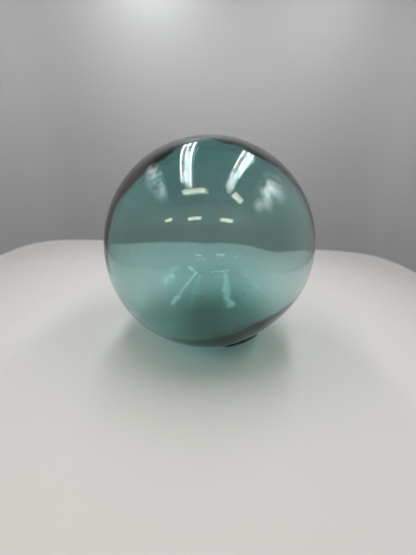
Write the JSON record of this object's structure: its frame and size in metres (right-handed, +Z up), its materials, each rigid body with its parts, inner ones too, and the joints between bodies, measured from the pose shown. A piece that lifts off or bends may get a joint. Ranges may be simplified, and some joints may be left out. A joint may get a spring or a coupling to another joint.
{
  "type": "glass float ball",
  "caption": "Hand-blown glass fishing float: a thick-walled sea-green ball, slightly out of round, with the applied button of glass that seals its blowpipe hole.",
  "frame": {"origin": "centre of the small flat spot under the ball, on the surface it lies on", "axes": "+Z up through the middle of the ball, -Y towards the front, +X to the right; the seal button is low at the front right"},
  "size_m": [0.3049, 0.3048, 0.3046],
  "materials": {
    "sea_green_glass": "clear blown glass, glossy with faint wear",
    "seal_glass": "clear pressed glass, glossy"
  },
  "bodies": {
    "root": {"glass_ball": "sea_green_glass", "seal_button": "seal_glass"}
  },
  "joints": []
}
